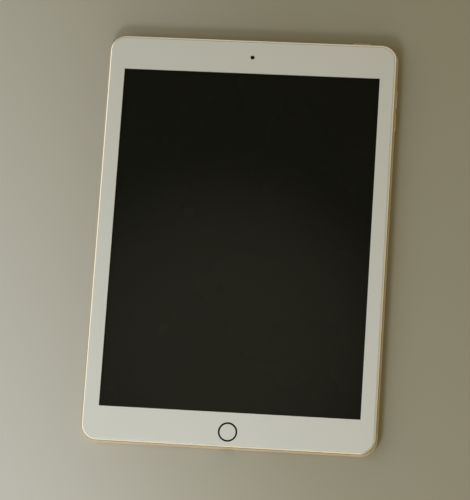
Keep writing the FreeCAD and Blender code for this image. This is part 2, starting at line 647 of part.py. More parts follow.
def board_chips():
    """The storage, power and wireless chips and six small ones."""
    storage = chip(CHIP_X, sum(SHIELD_SPANS[2]) / 2, 12.0, 18.0, 0.85)
    power = chip(CHIP_X, 13.0, 8.0, 8.0, 0.7)
    wireless = chip(64.5, 66.0, 13.0, 12.0, 1.0)
    spots = ((54.0, 8.0), (54.0, 16.5), (72.5, 8.5), (72.5, 17.0), (59.0, 76.6), (66.0, 76.6))
    return group([storage, power, wireless] + [chip(x, y, 3.4, 3.0, 0.5) for x, y in spots])


def board_connectors():
    """Low plugs that the flexible circuits press onto, and two coaxial sockets."""
    z = (BOARD_FRONT, PLUG_TOP)
    lower, upper = [about(y, PLUG_DEPTH) for y in PLUG_ROWS]
    spans = [(x, lower) for x in (DISPLAY_PLUG, TOUCH_PLUG, PORT_PLUG)]
    spans += [(x, upper) for x in (TOP_PLUG, CAMERA_PLUG)]
    plugs = [block(x, y, z) for x, y in spans + [BATTERY_PLUG, VOLUME_PLUG]]
    sockets = [rod(1.0, (x, y, BOARD_FRONT), COAX_HEIGHT) for x, y in COAX_PLUGS]
    return group(plugs + sockets)


def board_screws():
    return group([screw(x, y, BOARD_FRONT, 1.0) for x, y in BOARD_SCREWS])


# ---- charging port ----
def port_liner(inside, y):
    """A bar this far inside the shell's bore, along part of the port."""
    grow = 2 * (PORT_LINER - inside)
    return stadium(PORT_CAVITY_WIDTH + grow, PORT_CAVITY_HEIGHT + grow, y, z=PORT_HEIGHT)


def charging_port_shell():
    """The steel port: a nose in the wall's opening, a wider body and a foot on its circuit."""
    nose = stadium(PORT_NOSE_WIDTH, PORT_NOSE_HEIGHT, (PORT_MOUTH, PORT_SHOULDER), z=PORT_HEIGHT)
    body = stadium(PORT_BODY_WIDTH, PORT_BODY_HEIGHT, (PORT_SHOULDER, PORT_BACK), z=PORT_HEIGHT)
    bottom = PORT_HEIGHT - PORT_BODY_HEIGHT / 2
    foot = block((-3, 3), (PORT_BACK - 3, PORT_BACK - 1), (FLOOR_RUN + FLEX / 2, bottom + 0.1))
    return fuse([nose, body, foot]).cut(port_liner(0, (PORT_MOUTH - 1, PORT_BACK + 1)))


def charging_port_insert():
    """The plastic liner with its blind cavity and eight contact ridges on one wall."""
    liner = port_liner(SLIP, (PORT_MOUTH + 0.15, PORT_BACK))
    liner = liner.cut(port_liner(PORT_LINER, (PORT_MOUTH - 1, PORT_CAVITY_END)))
    roof = PORT_HEIGHT + PORT_CAVITY_HEIGHT / 2
    y, z = (PORT_MOUTH + 1.6, PORT_CAVITY_END - 0.8), (roof - 0.08, roof + 0.1)
    return fuse([liner] + [block(about((i - 3.5) * 0.62, 0.34), y, z) for i in range(8)])


def port_flex():
    """From the charging port along the floor, then up onto the logic board."""
    thick = about(FLOOR_RUN, FLEX)
    start = block((-4, 4), (-112.0, -101.0), thick)
    along = block((-4, PORT_PLUG[1]), (-103.6, -97.0), thick)
    rise = BOARD_BOTTOM - 4
    route = [(-97.0, FLOOR_RUN), (rise, FLOOR_RUN), (rise + 2.0, FLEX_RUN)]
    route.append((PLUG_ROWS[0] + PLUG_DEPTH / 2, FLEX_RUN))
    return fuse([start, along, strip(route, FLEX, "yz", PORT_PLUG)])


# ---- headphone jack ----
def headphone_jack():
    """A socket whose nose fills the wall's hole and follows the tablet's curved edge."""
    nose = rod(JACK_NOSE, (JACK_X, JACK_SHOULDER, JACK_HEIGHT), HEIGHT / 2 - JACK_SHOULDER, Y_AXIS)
    nose = nose.common(moulded(edge_path(0.1, CHAMFER_BOTTOM)))
    body = block(about(JACK_X, 6.2), (JACK_BACK, JACK_SHOULDER), (1.15, 5.8))
    body = body.makeFillet(0.5, [e for e in body.Edges if e.BoundBox.YLength > 5])
    bore = rod(JACK_BORE, (JACK_X, JACK_END, JACK_HEIGHT), 20, Y_AXIS)
    return fuse([nose, body]).cut(bore)


def headphone_contacts():
    """Five sprung contacts folded round the outside of the socket."""
    side = JACK_X - 3.1
    legs = []
    for i in range(5):
        y = about(JACK_BACK + 1.6 + 2.1 * i, 0.9)
        leaf = block((side - 0.3, side - SLIP), y, (1.25, 4.6))
        tail = block((side - 1.2, side - SLIP), y, (1.25, 1.45))
        legs.append(fuse([leaf, tail]))
    return group(legs)


# ---- circuits for the buttons ----
def top_flex():
    """One circuit along the floor for the jack, microphones, camera and power button."""
    thick, lane = about(FLOOR_RUN, FLEX), (96.0, 101.0)
    along = block((JACK_X - 2, TOP_PLUG[1]), lane, thick)
    to_jack = block(about(JACK_X, 4), (lane[1] - 1, JACK_BACK - 0.02), thick)
    to_microphones = block(about(0, 4.4), (lane[1] - 1, 115.3), thick)
    sound_hole = rod(0.6, (0, REAR_MIC_Y, 0), 3)
    climb = [(lane[0] + 1, FLOOR_RUN), (BOARD_TOP + 4, FLOOR_RUN), (BOARD_TOP + 2, FLEX_RUN)]
    climb.append((PLUG_ROWS[1] - PLUG_DEPTH / 2, FLEX_RUN))
    inward = HEIGHT / 2 - BRACKET_START
    tail = [(inward + FLEX / 2, FLEX_RUN), (inward - 4.0, FLEX_RUN), (inward - 5.5, FLOOR_RUN)]
    tail.append((lane[1] - 1, FLOOR_RUN))
    pad = block((-6.6, 2.6), (-BRACKET_START, -SWITCH_END), (2.2, 4.9))
    pieces = [
        along,
        to_jack,
        to_microphones.cut(sound_hole),
        strip(climb, FLEX, "yz", TOP_PLUG),
        strip(tail, FLEX, "yz", about(POWER_X - 5.2, 2.2)),
        put_on_top(pad, POWER_X),
    ]
    return fuse(pieces)


def volume_flex():
    """The volume switches' circuit, with a tail through its bracket to the logic board."""
    middle = sum(VOLUME_Y) / 2
    pad = block((-9.5, 9.5), (-BRACKET_START, -SWITCH_END), (2.2, 4.9))
    x = (VOLUME_PLUG[0][0], WIDTH / 2 - SWITCH_END - FLEX / 2)
    return fuse([put_on_right(pad, middle), block(x, VOLUME_PLUG[1], about(FLEX_RUN, FLEX))])


# ---- speakers and microphones ----
def speaker():
    """A sealed sound box with a mouth at the wall, a round cone window and two ears."""
    x = about(SPEAKER_X, SPEAKER_WIDTH)
    box = block(x, (SPEAKER_OUTER_Y, SPEAKER_INNER_Y), (SPEAKER_BACK, 5.6))
    box = box.makeFillet(0.8, upright_edges(box))
    mouth = block((x[0] + 0.6, x[1] - 0.6), (SPEAKER_MOUTH, SPEAKER_OUTER_Y + 1), (2.5, 4.8))
    y = (SPEAKER_EAR_Y - 1.4, SPEAKER_EAR_Y + 1.4)
    reach = SPEAKER_EAR_X + 1.4
    ears = block((SPEAKER_X - reach, SPEAKER_X + reach), y, (SPEAKER_BACK, SPEAKER_BACK + 0.6))
    places = [(SPEAKER_X + s * SPEAKER_EAR_X, SPEAKER_EAR_Y, 0) for s in (-1, 1)]
    holes = [rod(SCREW_HOLE + 0.1, place, THICKNESS) for place in places]
    throat = block((x[0] + 1.4, x[1] - 1.4), (SPEAKER_MOUTH - 1, SPEAKER_OUTER_Y + 3), (2.8, 4.5))
    cone = rod(4.2, (SPEAKER_X, (SPEAKER_OUTER_Y + SPEAKER_INNER_Y) / 2, 5.35), 1)
    return fuse([box, mouth, ears]).cut([throat, cone, *holes])


def speaker_mesh():
    """Two fine woven screens behind the rows of holes."""
    y, z = (SPEAKER_MOUTH - 0.12, SPEAKER_MOUTH), (2.52, 4.8)
    return group([block(about(s * SPEAKER_X, SPEAKER_WIDTH - 1.2), y, z) for s in (-1, 1)])


def bracket_screws():
    """The screws of the side button brackets and the speakers."""
    brackets = [screw(x, y, FOOT_FRONT, 1.2, head_radius=1.0) for x, y in bracket_eyelets()]
    speakers = [screw(x, y, SPEAKER_BACK + 0.6, 1.2, head_radius=1.1) for x, y in speaker_ears()]
    return group(brackets + speakers)


def microphones():
    """One at the top edge and one behind the hole in the back, each with a sound path."""
    stand = block((-1.9, 1.9), (112.9, 115.3), (FLOOR_RUN + FLEX / 2, 4.7))
    snout = block((-1.5, 1.5), (115.3, 118.5), (3.1, 4.7))
    path = rod(MIC_RADIUS, (0, 114.5, TOP_MIC_HEIGHT), 5, Y_AXIS)
    z = FLOOR_RUN + FLEX / 2
    rear = block((-1.9, 1.9), about(REAR_MIC_Y, 2.8), (z, z + 0.95))
    rear = rear.cut(rod(MIC_RADIUS, (0, REAR_MIC_Y, z - 1), 1.3))
    gasket = tube(1.4, MIC_RADIUS, (0, REAR_MIC_Y, FLOOR), FLOOR_RUN - FLEX / 2 - FLOOR)
    return group([fuse([stand, snout]).cut(path), rear, gasket])


# ---- cameras and light sensor ----
def front_camera():
    """A small square module with a round barrel and its own circuit tail."""
    y, size, seat = FRONT_CAMERA_Y, 6.0, 5.1
    body = block(about(0, size), about(y, size), (CAMERA_PLATE[1], 5.0))
    barrel = rod(2.1, (0, y, 4.6), 1.65)
    edge, run = y - size / 2, CAMERA_PLATE[1] + 0.3
    floor_run = FLOOR_RUN + FLEX
    route = [(edge, run), (edge - 0.9, run), (edge - 2.2, floor_run), (98.0, floor_run)]
    module = fuse([body, barrel, strip(route, FLEX, "yz", (-2, 2))])
    return module.cut(rod(CAMERA_HOLE_RADIUS, (0, y, seat), 2))


def front_camera_bracket():
    """A bridge over the rear microphone that carries the camera and the light sensor."""
    y = about(FRONT_CAMERA_Y, 6.8)
    plate = block((-8, 11), y, CAMERA_PLATE)
    leg_y, leg_z = about(FRONT_CAMERA_Y, 4.0), (FLOOR, CAMERA_PLATE[0])
    legs = [block(x, leg_y, leg_z) for x in ((-8, -7), (10, 11))]
    riser_z = (CAMERA_PLATE[1], SENSOR_BACK)
    riser = block(about(SENSOR_X, 2.4), about(FRONT_CAMERA_Y, 2.4), riser_z)
    return fuse([plate, *legs, riser])


def light_sensor():
    body = block(about(SENSOR_X, 2.0), about(FRONT_CAMERA_Y, 2.0), (SENSOR_BACK, SENSOR_FRONT))
    return body.cut(rod(0.5, (SENSOR_X, FRONT_CAMERA_Y, SENSOR_FRONT - 0.1), 1))


def rear_camera():
    """The lens barrel, its square actuator and a circuit tail to the logic board."""
    x, y = REAR_CAMERA_X, REAR_CAMERA_Y
    body = block(about(x, 8.6), about(y, 8.6), (2.6, 5.3))
    body = body.makeFillet(0.4, upright_edges(body))
    barrel = rod(3.4, (x, y, 1.25), 1.5)
    edge, run = y - 4.3, FLEX_RUN
    route = [(edge, run), (PLUG_ROWS[1] - PLUG_DEPTH / 2, run)]
    tail = strip(route, FLEX, "yz", CAMERA_PLUG)
    return fuse([body, barrel, tail]).cut([rod(2.5, (x, y, 1), 1.2), rod(1.6, (x, y, 2), 1.0)])


def camera_lenses():
    """The domed first elements of the two cameras, one facing forward and one out of the back."""
    front_top, rear_bottom = 6.1, 1.7
    front = Part.makeSphere(3.2, V(0, FRONT_CAMERA_Y, front_top - 3.2))
    front = front.common(rod(CAMERA_HOLE_RADIUS - SLIP, (0, FRONT_CAMERA_Y, 5.12), 2))
    x, y = REAR_CAMERA_X, REAR_CAMERA_Y
    rear = Part.makeSphere(5.0, V(x, y, rear_bottom + 5.0))
    return group([front, rear.common(rod(2.5 - SLIP, (x, y, 1), 1.18))])


def rear_camera_ring():
    """The polished ring in the back, with a flange inside that stops it falling out."""
    x, y = REAR_CAMERA_X, REAR_CAMERA_Y
    sleeve = rod(REAR_CAMERA_HOLE - SLIP, (x, y, 0), FLOOR)
    sleeve = sleeve.makeChamfer(0.12, [e for e in sleeve.Edges if e.BoundBox.ZMax < 1e-4])
    flange = rod(REAR_CAMERA_HOLE + 0.7, (x, y, FLOOR), 0.2)
    return fuse([sleeve, flange]).cut([rod(3.5, (x, y, -1), 1.85), rod(2.8, (x, y, -1), 3)])


def rear_camera_window():
    return rod(3.5 - SLIP, (REAR_CAMERA_X, REAR_CAMERA_Y, 0.1), 0.72)


# ---- antennas and magnets ----
def wifi_antennas():
    """Two plated blocks on legs, under the clear border of the glass."""
    blocks, leg_y, leg_z = [], about(109, 3), (FLOOR, ANTENNA_BACK)
    for x in ANTENNAS:
        top = block(x, (104.6, 113.0), (ANTENNA_BACK, ANTENNA_FRONT))
        top = top.makeFillet(1.0, upright_edges(top))
        legs = [block(about(at, 2), leg_y, leg_z) for at in (x[0] + 3, x[1] - 4.5)]
        blocks.append(fuse([top, *legs]))
    return group(blocks)


def antenna_cables():
    """Two thin coaxial cables from the antennas down to the wireless chip."""
    lanes, channel, post_y = (98.2, 99.6), (47.0, 48.1), 106.0
    bottom, top = CABLE_RUN - CABLE_RADIUS, CABLE_RUN + CABLE_RADIUS
    cables = []
    for antenna, lane, x, (plug_x, plug_y) in zip(ANTENNAS, lanes, channel, COAX_PLUGS):
        start = antenna[1] - 1.5
        places = [(start, post_y), (start, lane), (x, lane), (x, plug_y), (plug_x, plug_y)]
        run = cable([(*place, CABLE_RUN) for place in places], CABLE_RADIUS)
        post = rod(0.7, (start, post_y, bottom), ANTENNA_BACK - bottom)
        socket = BOARD_FRONT + COAX_HEIGHT
        cap = rod(0.95, (plug_x, plug_y, socket), top - socket)
        cables.append(fuse([run, post, cap]))
    return group(cables)


def cover_magnets():
    """Two rows of magnets along the left wall, which hold a cover's edge."""
    x, z = (-82.6, -80.9), (2.15, 4.6)
    steps = [(i - (MAGNETS_IN_ROW - 1) / 2) * MAGNET_PITCH for i in range(MAGNETS_IN_ROW)]
    return group([block(x, about(row + y, MAGNET_LENGTH), z) for row in MAGNET_ROWS for y in steps])


# ---- home button ----
def home_button_cap():
    z = HOME_CARRIER_FRONT
    cap = rod(HOME_CAP_RADIUS, (0, HOME_Y, z), HOME_CAP_TOP - z)
    return cap.makeFillet(0.08, [e for e in cap.Edges if e.BoundBox.ZMin > HOME_CAP_TOP - 1e-4])


def home_button_ring():
    """The metal ring round the cap, bevelled towards it."""
    z, height = HOME_CARRIER_FRONT, HOME_RING_TOP - HOME_CARRIER_FRONT
    ring = tube(HOME_RING_OUTER, HOME_CAP_RADIUS + SLIP, (0, HOME_Y, z), height)
    top = [e for e in ring.Edges if e.BoundBox.ZMin > HOME_RING_TOP - 1e-4]
    return ring.makeChamfer(0.18, [min(top, key=lambda e: e.Length)])


def home_button_carrier():
    """The plate under the cap and the ring, with the nub that presses the dome."""
    height = HOME_CARRIER_FRONT - HOME_CARRIER_BACK
    flange = rod(HOME_CARRIER_RADIUS, (0, HOME_Y, HOME_CARRIER_BACK), height)
    nub = rod(1.0, (0, HOME_Y, HOME_NUB_END), HOME_CARRIER_BACK - HOME_NUB_END)
    return fuse([flange, nub])


def home_button_seal():
    """The soft ring bonded behind the glass round the button's hole."""
    z = HOME_CARRIER_FRONT + 0.04
    return tube(HOME_SEAL_RADIUS, HOME_HOLE_RADIUS + 0.2, (0, HOME_Y, z), PRINT_BACK - z)


def home_button_dome():
    dome = snap_dome(1.8, HOME_NUB_END - 0.02 - HOME_DOME_BACK)
    dome.translate(V(0, HOME_Y, HOME_DOME_BACK))
    return dome


def home_button_bracket():
    """A bridge across the back of the button, bonded to the glass at both ends."""
    half, side = HOME_PLATE_HALF, 0.25
    wing = (PRINT_BACK - 0.2, PRINT_BACK)
    plate = block((-half, half), HOME_PLATE_Y, (HOME_PLATE_BACK, HOME_PLATE_FRONT))
    pieces = [plate]
    for low, high in ((-half, -half + side), (half - side, half)):
        pieces.append(block((low, high), HOME_PLATE_Y, (HOME_PLATE_BACK, wing[1])))
    pieces += [block(x, HOME_PLATE_Y, wing) for x in ((-half - 4, -half), (half, half + 4))]
    return fuse(pieces)


def home_button_flex():
    """From under the dome round the display's edge and down to the port's circuit."""
    top, down, low = HOME_PLATE_FRONT + FLEX / 2, HOME_PLATE_Y[1] + 0.8, FLOOR_RUN + FLEX
    route = [(HOME_Y - 3, top), (down - 0.4, top), (down, top - 0.4), (down, low + 0.4)]
    route += [(down + 0.4, low), (-97.6, low)]
    return strip(route, FLEX, "yz", (-3.2, 3.2))


# ---- behind the side buttons ----
def behind_buttons(make):
    """One of these pieces behind each of the three side buttons."""
    return group([put_on_top(make(), POWER_X)] + [put_on_right(make(), y) for y in VOLUME_Y])


def side_brackets():
    power = button_bracket(POWER_BRACKET_HALF, (-6.5, -3.9))
    middle = sum(VOLUME_Y) / 2
    window = [middle - y for y in VOLUME_PLUG[1][::-1]]
    volume = button_bracket(VOLUME_BRACKET_HALF, (window[0] - 0.2, window[1] + 0.2))
    return group([put_on_top(power, POWER_X), put_on_right(volume, middle)])


NODES = {
    "rear_housing": rear_housing,
    "cover_glass": cover_glass,
    "bezel_print": bezel_print,
    "glass_gasket": glass_gasket,
    "glass_adhesive": glass_adhesive,
    "touch_film": touch_film,
    "touch_flex": touch_flex,
    "display_frame": display_frame,
    "display_backlight": display_backlight,
    "backlight_lamps": backlight_lamps,
    "display_panel": display_panel,
    "display_foam": display_foam,
    "display_driver": display_driver,
    "display_flex": display_flex,
    "display_screws": display_screws,
    "battery_cells": battery_cells,
    "battery_tape": battery_tape,
    "battery_controller": battery_controller,
    "battery_flex": battery_flex,
    "logic_board": logic_board,
    "board_shields": board_shields,
    "processor": processor,
    "memory_chips": memory_chips,
    "board_chips": board_chips,
    "board_connectors": board_connectors,
    "board_screws": board_screws,
    "charging_port_shell": charging_port_shell,
    "charging_port_insert": charging_port_insert,
    "port_flex": port_flex,
    "headphone_jack": headphone_jack,
    "headphone_contacts": headphone_contacts,
    "top_flex": top_flex,
    "volume_flex": volume_flex,
    "speakers": lambda: group([speaker(), mirrored(speaker())]),
    "speaker_mesh": speaker_mesh,
    "bracket_screws": bracket_screws,
    "microphones": microphones,
    "front_camera": front_camera,
    "front_camera_bracket": front_camera_bracket,
    "light_sensor": light_sensor,
    "rear_camera": rear_camera,
    "camera_lenses": camera_lenses,
    "rear_camera_ring": rear_camera_ring,
    "rear_camera_window": rear_camera_window,
    "wifi_antennas": wifi_antennas,
    "antenna_cables": antenna_cables,
    "cover_magnets": cover_magnets,
    "home_button_cap": home_button_cap,
    "home_button_ring": home_button_ring,
    "home_button_carrier": home_button_carrier,
    "home_button_seal": home_button_seal,
    "home_button_dome": home_button_dome,
    "home_button_bracket": home_button_bracket,
    "home_button_flex": home_button_flex,
    "power_button": lambda: put_on_top(side_button(), POWER_X),
    "volume_up_button": lambda: put_on_right(side_button(), VOLUME_Y[0]),
    "volume_down_button": lambda: put_on_right(side_button(), VOLUME_Y[1]),
    "side_button_domes": lambda: behind_buttons(button_dome),
    "side_button_switches": lambda: behind_buttons(button_switch),
    "side_button_brackets": side_brackets,
}

os.makedirs("parts", exist_ok=True)
for name, make in NODES.items():
    shape = make()
    print(f"{name:24s} solids {len(shape.Solids):2d} valid {shape.isValid()} volume {shape.Volume:9.2f}")
    shape.exportStep(f"parts/{name}.step")
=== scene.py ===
"""Looks of the tablet computer: materials, fine detail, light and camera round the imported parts.

Everything is in metres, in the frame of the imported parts: the tablet lies on its back on z = 0.
"""

import math

import bmesh
import bpy
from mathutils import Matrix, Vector


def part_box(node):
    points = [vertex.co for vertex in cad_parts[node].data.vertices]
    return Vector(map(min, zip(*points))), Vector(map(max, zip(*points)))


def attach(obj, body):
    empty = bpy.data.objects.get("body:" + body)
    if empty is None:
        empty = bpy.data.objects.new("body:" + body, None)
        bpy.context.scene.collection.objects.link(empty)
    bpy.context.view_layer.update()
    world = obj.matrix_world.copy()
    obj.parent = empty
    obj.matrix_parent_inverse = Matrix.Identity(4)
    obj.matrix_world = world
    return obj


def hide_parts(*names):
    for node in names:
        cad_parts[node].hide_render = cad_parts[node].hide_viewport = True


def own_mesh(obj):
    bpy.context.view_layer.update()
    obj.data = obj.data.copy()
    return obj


MM = 0.001

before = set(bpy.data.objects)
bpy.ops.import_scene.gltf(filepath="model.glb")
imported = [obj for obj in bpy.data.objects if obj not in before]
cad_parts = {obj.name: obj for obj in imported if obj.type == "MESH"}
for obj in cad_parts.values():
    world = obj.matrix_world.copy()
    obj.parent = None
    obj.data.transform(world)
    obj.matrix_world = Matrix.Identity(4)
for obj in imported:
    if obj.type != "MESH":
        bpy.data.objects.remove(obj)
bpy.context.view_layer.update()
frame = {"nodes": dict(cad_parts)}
nodes = frame["nodes"]

# ---- colours, linear ----
BLACK, WHITE = (0.0, 0.0, 0.0), (1.0, 1.0, 1.0)
GOLD = (0.92, 0.765, 0.57)
GOLD_PAINTED_SHADE = (0.13, 0.095, 0.06)  # painted shade: a dark line at the outer edge of the cut rim, standing for the shade and the dark reflection seen there
GOLD_POLISHED = (0.95, 0.91, 0.85)
# partly painted shade: the home ring's own metal, made nearly black to stand for the shade in the
# gap round it and the dark reflection on it
RING_METAL_AND_SHADE = (0.05, 0.036, 0.022)
WHITE_INK = (0.80, 0.795, 0.76)
GLASS_TINT = (0.985, 0.99, 0.985)
# the floor's pale colour on the lit left, a darker, warmer painted shade towards the right for the
# light's falloff, and a plain tone far out
FLOOR_PALE, FLOOR_PAINTED_SHADE = (0.65, 0.63, 0.58), (0.42, 0.39, 0.30)
FLOOR_FAR = (0.60, 0.585, 0.54)
SKY_WARM, SKY_PALE = (0.41, 0.32, 0.11), (0.80, 0.735, 0.54)
CEILING_GLOW = (0.215, 0.197, 0.143)
FRONT_WINDOW = (2.2, 2.0, 1.45)
WALLS = (0.17, 0.21, 0.27)

# ---- places on the tablet ----
CUT_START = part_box("rear_housing")[1].z - 0.52 * MM  # height where the polished rim begins
# the painted shade line begins this far below the polished rim
SHADE_LINE_START = CUT_START - 0.28 * MM
CUT_BLUR, SHADE_LINE_BLUR = 0.01 * MM, 0.12 * MM
WINDOW = (149.3 / 2 * MM, 198.7 / 2 * MM)  # half sizes of the opening in the white border
ACTIVE = (147.8 / 2 * MM, 197.1 / 2 * MM)  # of the part of the panel that lights up
FRONT_CAMERA_Y, FRONT_CAMERA_OPENING = 108.8 * MM, 1.25 * MM
DOME_REACH = 5 * MM  # a snap dome lies within this distance of its button's middle
SIDE_DOME_KEEP, HOME_DOME_KEEP = 0.13, 0.19  # share of its height left when the button is in


# ---- node helpers ----
class Tree:
    """A material's nodes, with short calls for the ones used here."""

    def __init__(self, name):
        self.material = bpy.data.materials.new(name)
        self.material.use_nodes = True
        self.nodes = self.material.node_tree.nodes
        self.links = self.material.node_tree.links
        self.nodes.clear()
        self.output = self.add("OutputMaterial")
        self.place = self.add("TexCoord").outputs["Object"]

    def add(self, kind, **settings):
        node = self.nodes.new("ShaderNode" + kind)
        for key, value in settings.items():
            setattr(node, key, value)
        return node

    def put(self, socket, value):
        """Links a socket to another's output, or sets its value."""
        if isinstance(value, bpy.types.NodeSocket):
            self.links.new(value, socket)
        elif hasattr(value, "__len__") and len(value) == 3 and socket.type == "RGBA":
            socket.default_value = (*value, 1.0)
        else:
            socket.default_value = value

    def shader(self, kind, **inputs):
        node = self.add(kind)
        for key, value in inputs.items():
            self.put(node.inputs[key.replace("_", " ")], value)
        return node.outputs[0]

    def math(self, operation, a, b=0.0):
        node = self.add("Math", operation=operation)
        self.put(node.inputs[0], a)
        self.put(node.inputs[1], b)
        return node.outputs[0]

    def scaled(self, size, stretch=(1, 1, 1)):
        """The place on the object, where one unit is size metres."""
        mapping = self.add("Mapping")
        self.put(mapping.inputs["Vector"], self.place)
        mapping.inputs["Scale"].default_value = [s / size for s in stretch]
        return mapping.outputs[0]

    def noise(self, size, detail=2.0, roughness=0.5, stretch=(1, 1, 1)):
        """Noise whose features are about size metres across, from 0 to 1."""
        place = self.scaled(size, stretch)
        node = self.add("TexNoise")
        for key, value in zip(("Vector", "Detail", "Roughness"), (place, detail, roughness)):
            self.put(node.inputs[key], value)
        node.inputs["Scale"].default_value = 1.0
        return node.outputs["Fac"]

    def cell_edges(self, size):
        """The distance to the nearest edge between cells of about size metres."""
        node = self.add("TexVoronoi", feature="DISTANCE_TO_EDGE")
        self.put(node.inputs["Vector"], self.scaled(size))
        node.inputs["Scale"].default_value = 1.0
        return node.outputs["Distance"]

    def spread(self, value, low, high, start=0.3, end=0.7, **settings):
        """value moved from start..end to low..high, kept inside."""
        node = self.add("MapRange", **settings)
        keys = ("Value", "From Min", "From Max", "To Min", "To Max")
        for key, number in zip(keys, (value, start, end, low, high)):
            self.put(node.inputs[key], number)
        return node.outputs[0]

    def mix(self, share, a, b):
        """A colour between a and b."""
        node = self.add("Mix", data_type="RGBA")
        self.put(node.inputs["Factor"], share)
        self.put(node.inputs[6], a)
        self.put(node.inputs[7], b)
        return node.outputs[2]

    def varied(self, colour, change, patch):
        """A colour that goes darker and lighter by the share given, as the patch noise does."""
        dark, light = (tuple(min(c * f, 1.0) for c in colour) for f in (1 - change, 1 + change))
        return self.mix(self.spread(patch, 0.0, 1.0), dark, light)

    def axis(self, index):
        """The X, Y or Z coordinate in metres."""
        node = self.add("SeparateXYZ")
        self.links.new(self.place, node.inputs[0])
        return node.outputs[index]

    def squared_length(self, x, y):
        return self.math("ADD", self.math("MULTIPLY", x, x), self.math("MULTIPLY", y, y))

    def outside(self, half_width, half_height):
        """1 outside a rectangle about the middle of the tablet, and 0 inside it."""
        past_x = self.math("SUBTRACT", self.math("ABSOLUTE", self.axis(0)), half_width)
        past_y = self.math("SUBTRACT", self.math("ABSOLUTE", self.axis(1)), half_height)
        return self.math("GREATER_THAN", self.math("MAXIMUM", past_x, past_y), 0.0)

    def waves(self, index, pitch):
        """A sine along one axis, from -1 to 1."""
        turned = self.math("MULTIPLY", self.axis(index), 2 * math.pi / pitch)
        return self.math("SINE", turned)

    def blend(self, share, first, second):
        """The first shader where share is 0 and the second where it is 1."""
        mixer = self.add("MixShader")
        for socket, value in zip(mixer.inputs, (share, first, second)):
            self.put(socket, value)
        return mixer.outputs[0]

    def bump(self, height, depth, strength=1.0):
        """A normal from a height of 0 to 1 that stands for depth metres."""
        node = self.add("Bump")
        for key, value in zip(("Height", "Distance", "Strength"), (height, depth, strength)):
            self.put(node.inputs[key], value)
        return node.outputs[0]

    def finish(self, surface):
        self.links.new(surface, self.output.inputs["Surface"])
        return self.material

    def principled(self, **inputs):
        """The finished material with one Principled shader."""
        return self.finish(self.shader("BsdfPrincipled", **inputs))


# ---- materials ----
def anodised_aluminium():
    """Fine blasted gold metal, with the cut rim round the glass polished, and a line of painted
    shade just below the rim.
    """
    t = Tree("gold_aluminium")
    height = t.axis(2)
    cut = t.spread(height, 0.0, 1.0, CUT_START - CUT_BLUR, CUT_START + CUT_BLUR)
    shade_line_ends = SHADE_LINE_START - SHADE_LINE_BLUR, SHADE_LINE_START + SHADE_LINE_BLUR
    painted_shade_line = t.spread(height, 0.0, 1.0, *shade_line_ends)
    blasted = t.noise(0.12 * MM, detail=3.0, roughness=0.6)
    cloud = t.noise(35 * MM, detail=3.0)
    # painted shade: a dark band of the gold just below the cut rim, over the blasted gold's own
    # dye
    dye_and_painted_shade = t.mix(painted_shade_line, t.varied(GOLD, 0.025, cloud), GOLD_PAINTED_SHADE)
    worn = t.noise(9 * MM, detail=4.0)
    satin = t.math("ADD", t.spread(blasted, 0.42, 0.52), t.spread(worn, -0.02, 0.03))
    milled = t.spread(t.noise(0.5 * MM, stretch=(0.2, 0.2, 4)), 0.15, 0.2)
    blast_strength = t.math("MULTIPLY", t.math("SUBTRACT", 1.0, cut), 0.6)
    return t.principled(
        Base_Color=t.mix(cut, dye_and_painted_shade, GOLD_POLISHED),
        Metallic=t.spread(cut, 0.72, 1.0, 0.0, 1.0),
        Roughness=t.mix(cut, satin, milled),
        Normal=t.bump(blasted, 0.004 * MM, blast_strength),
    )


def ring_metal():
    t = Tree("ring_metal")
    turned = t.noise(0.12 * MM)
    # painted shade: the ring's metal colour is nearly black, darker than the metal itself
    colour = t.varied(RING_METAL_AND_SHADE, 0.06, turned)
    return t.principled(Base_Color=colour, Metallic=1.0, Roughness=t.spread(turned, 0.14, 0.2))


def pane(t):
    """Glass that lets lamps through. Only its outer side mirrors, by angle."""
    outer = t.math("SUBTRACT", 1.0, t.add("NewGeometry").outputs["Backfacing"])
    fresnel = t.add("Fresnel")
    fresnel.inputs["IOR"].default_value = 1.5
    share = t.math("MULTIPLY", fresnel.outputs[0], outer)
    wiped = t.noise(14 * MM, detail=5.0, roughness=0.6, stretch=(1, 0.5, 1))
    rough = t.spread(wiped, 0.012, 0.032, 0.35, 0.75)
    mirror = t.shader("BsdfGlossy", Color=WHITE, Roughness=rough)
    through = t.shader("BsdfTransparent", Color=GLASS_TINT)
    return t.blend(share, through, mirror)


def clear_glass():
    t = Tree("clear_glass")
    return t.finish(pane(t))


def white_under_glass(t):
    """White ink seen through the glass that it is printed on."""
    return t.shader(
        "BsdfPrincipled",
        Base_Color=t.varied(WHITE_INK, 0.008, t.noise(30 * MM, detail=3.0)),
        Roughness=t.spread(t.noise(0.3 * MM), 0.45, 0.55),
        Specular_IOR_Level=0.0,
        Coat_Weight=1.0,
        Coat_Roughness=0.025,
    )


def bordered_glass():
    """The cover glass: clear at the window and the camera, white behind everywhere else."""
    t = Tree("cover_glass")
    from_camera = t.math("SUBTRACT", t.axis(1), FRONT_CAMERA_Y)
    squared = t.squared_length(t.axis(0), from_camera)
    past_camera = t.math("GREATER_THAN", squared, FRONT_CAMERA_OPENING**2)
    inked = t.math("MULTIPLY", t.outside(*WINDOW), past_camera)
    return t.finish(t.blend(inked, pane(t), white_under_glass(t)))


def button_white():
    t = Tree("button_cap")
    return t.finish(white_under_glass(t))


def clear_film():
    """Touch film: clear, with a faint cool tone and a weak gloss."""
    t = Tree("clear_film")
    grid = t.noise(6 * MM)
    gloss = t.shader("BsdfGlossy", Color=(0.9, 0.95, 1.0), Roughness=t.spread(grid, 0.1, 0.16))
    through = t.shader("BsdfTransparent", Color=(0.97, 0.98, 0.975))
    return t.finish(t.blend(t.spread(grid, 0.003, 0.005), through, gloss))


